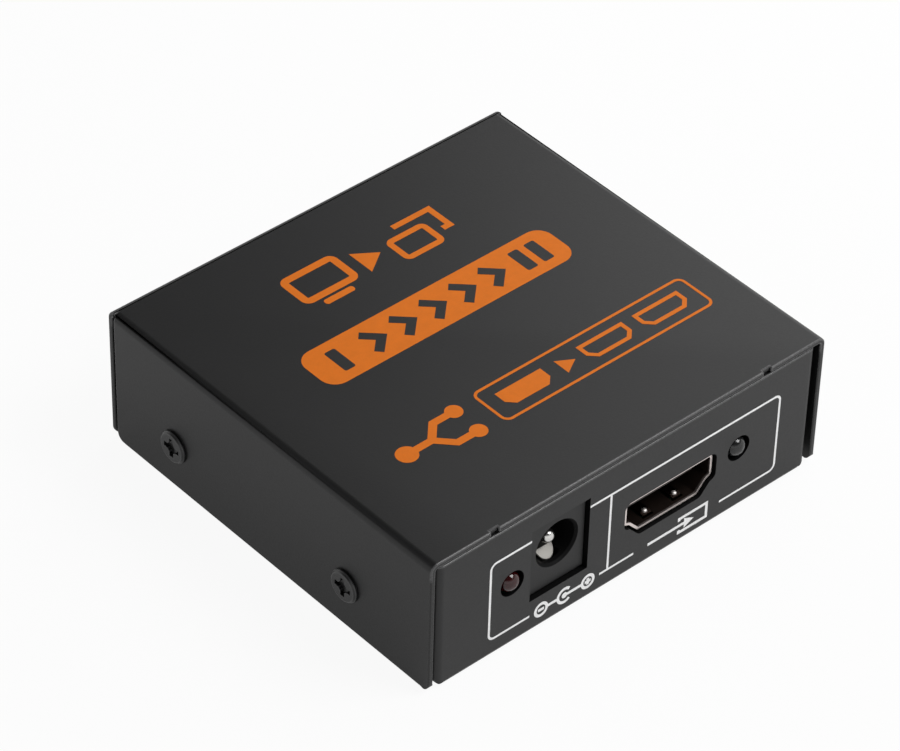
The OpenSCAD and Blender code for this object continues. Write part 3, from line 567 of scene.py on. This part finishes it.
class CaseLook(bpy.types.PropertyGroup):
    """Finish of the folded case."""

    coat: tint("Coat", "Colour of the powder coat", (0.007, 0.007, 0.0072))
    # The edge coat is lighter as a painted highlight along the top edges, partly standing for wear
    edge_highlight: tint("Edge coat", "Colour of the coat along its edges", (0.07, 0.07, 0.071))
    highlight_height: metres("Rubbed height", "Height above which the edges are rubbed", 19.5 * MM)
    screw: tint("Screws", "Colour of the cover screws", (0.008, 0.008, 0.0083))
    # The screws' rims are lighter as a painted highlight
    screw_rim_highlight: tint("Screw rims", "Colour of the screws' rubbed edges", (0.05, 0.05, 0.051))
    rough: number("Roughness", "Roughness of the coat", 0.43)
    highlight_rough: number("Edge roughness", "Roughness of the coat along its edges", 0.28)
    grain: metres("Grain", "Width of a grain of the coat", 0.28 * MM)
    grain_depth: metres("Grain depth", "Height of a grain", 0.008 * MM)
    edge: metres("Edge round", "Round along the sheet's edges", 0.24 * MM)
    screw_edge: metres("Screw round", "Round along the screws' edges", 0.1 * MM)


class PortLook(bpy.types.PropertyGroup):
    """Finish of the video ports and the power jack."""

    shell: tint("Shell", "Colour of the port shells", (0.82, 0.74, 0.71))
    # The springs show their own colour only on their pips, as a painted highlight; the metal inside the
    # ports is painted dark as shade
    spring: tint("Springs", "Colour of the contact springs", (0.86, 0.82, 0.8))
    inner_shade: tint("Tarnish", "Colour of the metal inside the ports", (0.05, 0.036, 0.03))
    pip_spacing: metres("Pip spacing", "Distance between the two pips of a pair", 5.1 * MM)
    pip_depth: metres("Pip depth", "Distance of the pips behind a port's mouth", 1.5 * MM)
    # The spot on a pip is a painted highlight
    pip_radius: metres("Pip radius", "Radius of the rubbed spot on a pip", 0.42 * MM)
    insulator: tint("Insulator", "Colour of the ports' insulators", (0.018, 0.013, 0.011))
    contact: tint("Contacts", "Colour of the contacts", (0.83, 0.6, 0.25))
    jack: tint("Jack", "Colour of the jack's body", (0.012, 0.012, 0.0122))
    tin: tint("Tin", "Colour of tinned metal", (0.72, 0.71, 0.69))
    edge: metres("Metal round", "Round along the edges of thin metal", 0.06 * MM)
    jack_edge: metres("Jack round", "Round along the jack's edges", 0.1 * MM)
    leaf: tint("Leaf", "Colour of the jack's leaf spring", (0.34, 0.33, 0.31))


class LampLook(bpy.types.PropertyGroup):
    """Finish of the lamps."""

    red: tint("Red lens", "Colour of the power lamp", (0.034, 0.0015, 0.002))
    clear: tint("Clear lens", "Colour of the other lamps", (0.02, 0.021, 0.021))
    lead: tint("Leads", "Colour of the lamps' leads", (0.7, 0.7, 0.68))


class BoardLook(bpy.types.PropertyGroup):
    """Finish of the circuit board and what stands on it."""

    # The mask is a dark green, darkened partly as painted shade inside the case
    mask: tint("Mask", "Colour of the board's mask", (0.003, 0.014, 0.008))
    copper: tint("Pads", "Colour of bare pads", (0.75, 0.6, 0.35))
    package: tint("Packages", "Colour of moulded packages", (0.02, 0.02, 0.022))
    ferrite: tint("Ferrite", "Colour of the inductor", (0.07, 0.07, 0.075))
    can: tint("Cans", "Colour of metal cans and package leads", (0.78, 0.78, 0.79))
    ceramic: tint("Ceramic", "Colour of the chip capacitors", (0.42, 0.3, 0.18))
    steel: tint("Steel", "Colour of standoffs and board screws", (0.6, 0.6, 0.58))


class PrintLook(bpy.types.PropertyGroup):
    """Inks on the panels."""

    orange: tint("Orange", "Ink of the top panel", (0.72, 0.172, 0.010))
    white: tint("White", "Ink of the front and rear panels", (0.84, 0.84, 0.84))
    lift: metres("Ink height", "Height of the ink above the panel", 0.012 * MM)
    line: metres("Line", "Width of the panel frames' lines", 0.34 * MM)
    sign: metres("Sign", "Width of the lines of the panel signs", 0.44 * MM)
    rule: metres("Rule", "Width of the thin rules on the top panel", 0.4 * MM)


class StageLook(bpy.types.PropertyGroup):
    """Camera, floor and light."""

    azimuth: degrees("Azimuth", "Camera's turn about the upright axis", -42.538)
    elevation: degrees("Elevation", "Camera's height above the horizon", 40.612)
    roll: degrees("Roll", "Camera's roll", 1.638)
    distance: metres("Distance", "Camera's distance from what it looks at", 541.54 * MM)
    lens: number("Lens", "Focal length in millimetres", 169.98)
    aim: FloatVectorProperty(name="Aim", description="What the camera looks at", subtype="TRANSLATION",
                             default=(-0.577 * MM, 2.05 * MM, 11.463 * MM))
    floor: tint("Floor", "Colour of the floor", (0.86, 0.86, 0.86))
    sky: number("Sky", "Strength of the light from overhead, where 1 is white", 0.08)
    right_watts: number("Right lamp", "Power of the softbox at the right, in watts", 0.27)
    front_watts: number("Front lamp", "Power of the softbox in front, in watts", 5.3)


# Pieces

def paint_openings(form):
    """Gives the walls of the openings in the front panel and the rear flange the second material, painted
    dark as shade.
    """
    for face in form.faces:
        if abs(face.normal.y) < 0.5 and in_panel(face.calc_center_median() / MM):
            face.material_index = 1


class SPLITTER_OT_case(bpy.types.Operator):
    """Dresses the cover, the tray and the cover screws"""

    bl_idname = "splitter.case"
    bl_label = "Case"

    def execute(self, context):
        look = context.scene.splitter_case
        coat = speckled("powder_coat", look.coat, look.rough, look.grain, look.grain_depth,
                        Specular_IOR_Level=COAT_SHINE)
        # Bevels on the sheet's edges take a painted highlight near the top
        edge_highlight = highlighted_edge("edge_highlight_coat", look.coat, look.edge_highlight, look.highlight_height, look.highlight_rough,
                           look.grain, look.grain_depth / 2)
        # Walls of the openings: the coat painted darker and duller as shade
        opening_shade = speckled("opening_shade_coat", rgba(look.coat, 0.4)[:3], 0.6, look.grain, look.grain_depth,
                       Specular_IOR_Level=SHADE_SHINE)
        for node, name in (("top_cover", "cover_sheet"), ("base_tray", "tray_sheet")):
            reshape(soften(node, name, [coat, opening_shade, edge_highlight], look.edge, 3, in_panel), paint_openings)
        zinc = speckled("black_zinc", look.screw, 0.3, 0.15 * MM, 1e-6)
        # Bevels on the screws take a lighter painted highlight
        rim_highlight = speckled("zinc_rim_highlight", look.screw_rim_highlight, 0.3, 0.15 * MM, 1e-6)
        soften("cover_screws", "case_screws", [zinc, rim_highlight], look.screw_edge)
        return {"FINISHED"}


class SPLITTER_OT_ports(bpy.types.Operator):
    """Dresses the video ports with their springs and contacts"""

    bl_idname = "splitter.ports"
    bl_label = "Video ports"

    def execute(self, context):
        look = context.scene.splitter_ports
        gold = plated("contact_gold", look.contact, 0.22, ALONG_Y)
        dark = speckled("port_plastic", look.insulator, 0.45, 0.12 * MM, 2e-6)
        for port in PORTS:
            low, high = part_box(port + "_shell")
            inward = 1 if low.y < 0 else -1
            mouth = low.y if inward > 0 else high.y
            middle = (low.x + high.x) / 2
            pips = [(middle + side * look.pip_spacing / 2, mouth + inward * look.pip_depth, 0.0)
                    for side in (-1, 1)]
            # Shells and springs are painted dark inside the ports as shade, with painted highlights on the
            # pips
            dress(port + "_shell", shell_with_inner_shade(port + "_nickel_inner_shade", look.shell, look.inner_shade, mouth))
            strip = strip_with_pip_highlights(port + "_strip", look.spring, look.inner_shade, pips, look.pip_radius)
            for row in ("_upper", "_lower"):
                dress(f"{port}{row}_springs", strip)
            dress(port + "_insulator", dark)
            dress(port + "_contacts", gold)
        return {"FINISHED"}


def in_bore(p):
    """Behind the jack's face and within the reach of its bore."""
    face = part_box("dc_jack_body")[0].y / MM
    off = math.hypot(p.x - PIN_AXIS.x, p.z - PIN_AXIS.z)
    return p.y > face + BORE_START and off < BORE_REACH


def paint_bore(form):
    """Gives the faces of the bore the second material, painted dark as shade."""
    for face in form.faces:
        face.material_index = int(in_bore(face.calc_center_median() / MM))


class SPLITTER_OT_jack(bpy.types.Operator):
    """Dresses the power jack"""

    bl_idname = "splitter.jack"
    bl_label = "Power jack"

    def execute(self, context):
        look = context.scene.splitter_ports
        plastic = speckled("jack_plastic", look.jack, 0.46, 0.2 * MM, 3e-6, Specular_IOR_Level=MOULD_SHINE)
        # Faces in the bore: painted darker and duller as shade
        bore_shade = speckled("jack_bore_shade", rgba(look.jack, 0.3)[:3], 0.6, 0.2 * MM, 3e-6,
                          Specular_IOR_Level=SHADE_SHINE)
        strip = plated("jack_strip", look.leaf, 0.54, ALONG_Y)
        tin = plated("jack_tin", look.tin, 0.2, ALONG_Y)
        body = soften("dc_jack_body", "jack_moulding", [plastic, bore_shade], look.jack_edge, 2, in_bore)
        body.modifiers["soft_edges"].material = -1
        reshape(body, paint_bore)
        soften("dc_jack_spring", "jack_leaf_strip", [strip], look.edge)
        for node in ("dc_jack_pin", "dc_jack_spring_anchor", "dc_jack_switch_contact"):
            dress(node, tin)
        return {"FINISHED"}


class SPLITTER_OT_lamps(bpy.types.Operator):
    """Dresses the lamps and their leads"""

    bl_idname = "splitter.lamps"
    bl_label = "Lamps"

    def execute(self, context):
        look = context.scene.splitter_lamps
        red = clear_lens("red_lens", look.red, 0.25)
        clear = clear_lens("clear_lens", look.clear, 0.45)
        dress("power_led", red)
        for node in ("signal_led", "output_1_led", "output_2_led"):
            dress(node, clear)
        dress("led_leads", plated("lead_tin", look.lead, 0.3, ALONG_Y))
        return {"FINISHED"}


class SPLITTER_OT_board(bpy.types.Operator):
    """Dresses the circuit board and what stands on it"""

    bl_idname = "splitter.board"
    bl_label = "Circuit board"

    def execute(self, context):
        look = context.scene.splitter_board
        steel = plated("zinc_steel", look.steel, 0.32, (1.0, 1.0, 0.1))
        package = speckled("moulded_package", look.package, 0.5, 0.08 * MM, 2e-6)
        leads = plated("package_tin", look.can, 0.3, ALONG_Y)
        can = plated("drawn_can", look.can, 0.2, (1.0, 1.0, 0.05))
        dress("circuit_board", board_mask("board_mask", look.mask, look.copper))
        dress("power_inductor", speckled("ferrite", look.ferrite, 0.55, 0.15 * MM, 4e-6))
        dress("chip_capacitors", speckled("tan_ceramic", look.ceramic, 0.4, 0.1 * MM, 2e-6))
        for node in ("board_standoffs", "board_screws"):
            dress(node, steel)
        for node in ("splitter_chip", "memory_chip", "voltage_regulator", "capacitor_bases",
                     "chip_resistors", "port_protectors"):
            dress(node, package)
        for node in ("memory_chip_leads", "voltage_regulator_leads"):
            dress(node, leads)
        for node in ("capacitor_cans", "crystal"):
            dress(node, can)
        return {"FINISHED"}


class SPLITTER_OT_top_print(bpy.types.Operator):
    """Prints the top panel: screens, a bar of chevrons, a fork and a framed row of sockets"""

    bl_idname = "splitter.top_print"
    bl_label = "Top print"

    def execute(self, context):
        look = context.scene.splitter_print
        case = context.scene.splitter_case
        rule = look.rule / MM
        pen, thin, fine = 1.1, 0.9, 0.6
        screens = [
            rounded(-12.6, 15.9, -4.6, 20.9, 0.7, pen), plate(-11.0, 13.9, -6.2, 14.9, 0.4),
            arrowhead(-2.4, 17.6, 3.4, 2.3),
            rounded(3.0, 14.4, 8.8, 18.4, 0.6, thin),
            stroke([(5.4, 20.4), (11.6, 20.4), (11.6, 16.2), (10.4, 16.2)], thin)]
        bar = [plate(-21.1, 1.0, 20.3, 8.5, 2.3)]
        fork = [
            disc(-22.0, -14.0, 1.5), stroke([(-22.0, -14.0), (-18.0, -14.0)], pen),
            stroke([(-12.6, -11.7), (-15.8, -11.7), (-18.0, -14.0), (-15.8, -16.3), (-12.6, -16.3)], pen),
            disc(-12.4, -11.7, 1.2), disc(-12.4, -16.3, 1.2)]
        sockets = [
            rounded(-8.6, -17.2, 26.8, -10.8, 1.0, rule),
            socket_plate(-2.6, -14.0, 3.8, 1.5, 1.1), arrowhead(3.4, -14.0, 2.4, 1.4),
            stroke(socket_plan(11.2, -14.0, 3.6, 1.3, 1.0), fine, True),
            stroke(socket_plan(20.8, -14.0, 3.6, 1.3, 1.0), fine, True)]
        orange = printed("orange_ink", look.orange)
        print_film("top_print", screens + bar + fork + sockets, on_top, look.lift, orange)
        marks = [plate(-17.6, 2.6, -15.9, 6.9, 0.3), plate(13.1, 2.6, 14.8, 6.9, 0.3),
                 plate(15.9, 2.6, 17.6, 6.9, 0.3)]
        marks += [chevron(x, 4.75, 2.1, 2.0, 1.3) for x in np.linspace(-12.0, 8.0, 5)]
        bare = speckled("bare_marks", case.coat, case.rough, case.grain, case.grain_depth,
                        Specular_IOR_Level=COAT_SHINE)
        print_film("top_print_marks", marks, on_top, 2 * look.lift, bare)
        return {"FINISHED"}


def socket_arrow(x, z, width, outward):
    """Sign for a signal: an arrow that goes into an open box, or comes out of one."""
    box = np.array([(0.4, 0.75), (0.4, 1.15), (5.2, 1.15), (5.2, -1.15), (0.4, -1.15), (0.4, -0.75)])
    shaft = (-5.0, 1.4)
    if outward:
        box, shaft = box * (-1, 1), (-2.9, 2.6)
    head = shaft[1] - 0.1
    return [stroke(box + (x, z), width),
            stroke([(x + shaft[0], z), (x + shaft[1], z)], width),
            arrowhead(x + head, z, 1.7, 0.8)]


class SPLITTER_OT_front_print(bpy.types.Operator):
    """Prints the front panel: a frame with a divider, a polarity sign and an input sign"""

    bl_idname = "splitter.front_print"
    bl_label = "Front print"

    def execute(self, context):
        look = context.scene.splitter_print
        line, bold = look.line / MM, look.sign / MM
        left, right, low, high, r = -23.3, 25.5, 3.15, 15.67, 0.9
        divider, jack_left, jack_right = -3.55, -16.72, -7.08
        # Middles of both signs, and the ends of the lower line on either side of each
        x, sign = -10.75, 8.35
        ends = (-16.6, -4.9, 0.9, 15.8)
        lead_in = np.vstack([[(ends[0], low)], arc(left + r, low + r, r, 270, 180),
                             arc(left + r, high - r, r, 180, 90), [(jack_left, high)]])
        lead_out = np.vstack([[(jack_right, high)], arc(right - r, high - r, r, 90, 0),
                              arc(right - r, low + r, r, 0, -90), [(ends[3], low)]])
        lines = [stroke(lead_in, line), stroke(lead_out, line),
                 stroke([(ends[1], low), (ends[2], low)], line),
                 stroke([(divider, low), (divider, high)], line)]
        polarity = [
            ring(x - 3.9, low, 0.95, bold), stroke([(x - 4.4, low), (x - 3.4, low)], bold),
            stroke([(x - 2.95, low), (x - 1.1, low)], bold), stroke(arc(x, low, 1.1, 45, 315), bold),
            disc(x, low, 0.45), stroke([(x, low), (x + 2.95, low)], bold),
            ring(x + 3.9, low, 0.95, bold), stroke([(x + 3.4, low), (x + 4.4, low)], bold),
            stroke([(x + 3.9, low - 0.5), (x + 3.9, low + 0.5)], bold)]
        white = printed("white_ink", look.white)
        drawing = lines + polarity + socket_arrow(sign, low, bold, False)
        print_film("front_print", drawing, on_front, look.lift, white)
        return {"FINISHED"}


class SPLITTER_OT_rear_print(bpy.types.Operator):
    """Prints the rear flange: a frame with a divider, and a number and an output sign below each port"""

    bl_idname = "splitter.rear_print"
    bl_label = "Rear print"

    def execute(self, context):
        look = context.scene.splitter_print
        line, bold = look.line / MM, look.sign / MM
        half, low, high, r = 27.2, 3.15, 15.67, 0.9
        port, gap = 11.5, 7.2
        number_at, sign_at = -5.6, 1.4
        ends = np.vstack([[(port + gap, low)], arc(half - r, low + r, r, 270, 360),
                          arc(half - r, high - r, r, 0, 90), [(0.0, high)]])
        lines = [stroke(ends, line), stroke(ends * (-1, 1), line),
                 stroke([(gap - port, low), (port - gap, low)], line), stroke([(0, low), (0, high)], line)]
        one = [(-0.5, 0.55), (0.0, 1.0), (0.0, -1.0)]
        two = np.vstack([arc(0.0, 0.4, 0.6, 170, -35), [(-0.6, -1.0), (0.65, -1.0)]])
        signs = []
        for digit, x in ((one, port), (two, -port)):
            signs.append(stroke(np.array(digit) + (x + number_at, low), bold))
            signs += socket_arrow(x + sign_at, low, bold, True)
        white = printed("rear_ink", look.white)
        print_film("rear_print", lines + signs, on_rear, look.lift, white)
        return {"FINISHED"}


# Stage

def softbox(name, place, aim, size, watts):
    """Square lamp at a place that faces a point."""
    light = bpy.data.lights.new(name, "AREA")
    light.size = size
    light.energy = watts
    lamp = bpy.data.objects.new(name, light)
    bpy.context.scene.collection.objects.link(lamp)
    lamp.visible_camera = False
    lamp.location = place
    lamp.rotation_euler = (Vector(aim) - Vector(place)).to_track_quat("-Z", "Y").to_euler()


def seen(graph, straight, mirrored):
    """One share on rays that the eye sends out, another on those that a mirror or a lens has turned,
    and zero on rays that carry light."""
    eye, mirror, lens = (graph.node("ShaderNodeLightPath", output=name)
                         for name in ("Is Camera Ray", "Is Glossy Ray", "Is Transmission Ray"))
    return straight * eye + (1 - eye) * mirrored * ((mirror + lens) > 0.5)


def camera_matrix(look):
    """Camera that looks at its aim from an azimuth and an elevation, then rolls about its own axis."""
    flat = math.cos(look.elevation)
    back = Vector((math.sin(look.azimuth) * flat, -math.cos(look.azimuth) * flat, math.sin(look.elevation)))
    right = Vector((0, 0, 1)).cross(back).normalized()
    upright = Matrix((right, back.cross(right), back)).transposed().to_4x4()
    spot = Vector(look.aim) + look.distance * back
    return Matrix.Translation(spot) @ upright @ Matrix.Rotation(look.roll, 4, "Z")


class SPLITTER_OT_stage(bpy.types.Operator):
    """Sets the floor, the light and the camera"""

    bl_idname = "splitter.stage"
    bl_label = "Stage"

    def execute(self, context):
        scene = context.scene
        look = scene.splitter_stage
        scene.view_settings.view_transform = "Standard"

        # A hair below the underside, so that the two faces never share a plane
        half, level = 3.0, -0.02 * MM
        square = [(x * half, y * half, level) for x, y in ((-1, -1), (1, -1), (1, 1), (-1, 1))]
        mesh = bpy.data.meshes.new("floor")
        mesh.from_pydata(square, [], [(0, 1, 2, 3)])
        floor = bpy.data.objects.new("floor", mesh)
        scene.collection.objects.link(floor)
        # The floor's own white, as the eye sees it and as the glossy case mirrors it
        straight, mirrored = 0.93, 0.4
        paper = Graph(bpy.data.materials.new("paper"))
        matt = paper.node("ShaderNodeBsdfDiffuse", None, {"Color": rgba(look.floor)})
        white = paper.node("ShaderNodeEmission", None, {"Color": (1, 1, 1, 1), "Strength": 1.0})
        share = seen(paper, straight, mirrored)
        mixed = paper.node("ShaderNodeMixShader", None, {0: share, 1: matt, 2: white})
        paper.node("ShaderNodeOutputMaterial", None, {"Surface": mixed})
        mesh.materials.append(paper.owner)

        sky = Graph(bpy.data.worlds.new("sky"))
        rise = sky.node("ShaderNodeSeparateXYZ", None, {0: sky.node("ShaderNodeTexCoord")}, 2)
        # White at the horizon, dim from a little over half way up
        low, high = 0.2, 0.6
        dusk = 1 - (1 - look.sky) * sky.ramp(rise, low, high)
        glow = sky.node("ShaderNodeBackground", None, {"Color": (1, 1, 1, 1), "Strength": dusk})
        sky.node("ShaderNodeOutputWorld", None, {"Surface": glow})
        scene.world = sky.owner

        middle = (0.0, 0.0, 10 * MM)
        softbox("right_softbox", (0.22, 0.064, 0.19), middle, 0.243, look.right_watts)
        softbox("front_softbox", (0.34, -0.44, 0.7), middle, 0.45, look.front_watts)

        view = bpy.data.cameras.new("camera")
        view.lens = look.lens
        view.sensor_width = 36.0
        view.sensor_fit = "HORIZONTAL"
        view.clip_start = 0.01
        camera = bpy.data.objects.new("camera", view)
        scene.collection.objects.link(camera)
        camera.matrix_world = camera_matrix(look)
        scene.camera = camera
        return {"FINISHED"}


class SPLITTER_PT_pieces(bpy.types.Panel):
    """Lists the pieces and their settings"""

    bl_label = "Video splitter"
    bl_space_type = "VIEW_3D"
    bl_region_type = "UI"
    bl_category = "Splitter"

    def draw(self, context):
        for operator in OPERATORS:
            self.layout.operator(operator.bl_idname)
        for name in SETTINGS:
            group = getattr(context.scene, name)
            box = self.layout.box()
            for key in group.__annotations__:
                box.prop(group, key)


SETTINGS = {
    "splitter_case": CaseLook, "splitter_ports": PortLook, "splitter_lamps": LampLook,
    "splitter_board": BoardLook, "splitter_print": PrintLook, "splitter_stage": StageLook,
}
OPERATORS = (
    SPLITTER_OT_case, SPLITTER_OT_ports, SPLITTER_OT_jack, SPLITTER_OT_lamps, SPLITTER_OT_board,
    SPLITTER_OT_top_print, SPLITTER_OT_front_print, SPLITTER_OT_rear_print, SPLITTER_OT_stage,
)
CLASSES = (*SETTINGS.values(), *OPERATORS, SPLITTER_PT_pieces)


def register():
    for cls in CLASSES:
        bpy.utils.register_class(cls)
    for name, group in SETTINGS.items():
        setattr(bpy.types.Scene, name, PointerProperty(type=group))


def unregister():
    for name in SETTINGS:
        delattr(bpy.types.Scene, name)
    for cls in reversed(CLASSES):
        bpy.utils.unregister_class(cls)


def main():
    register()
    for operator in OPERATORS:
        group, name = operator.bl_idname.split(".")
        getattr(getattr(bpy.ops, group), name)()


if __name__ == "__main__":
    main()
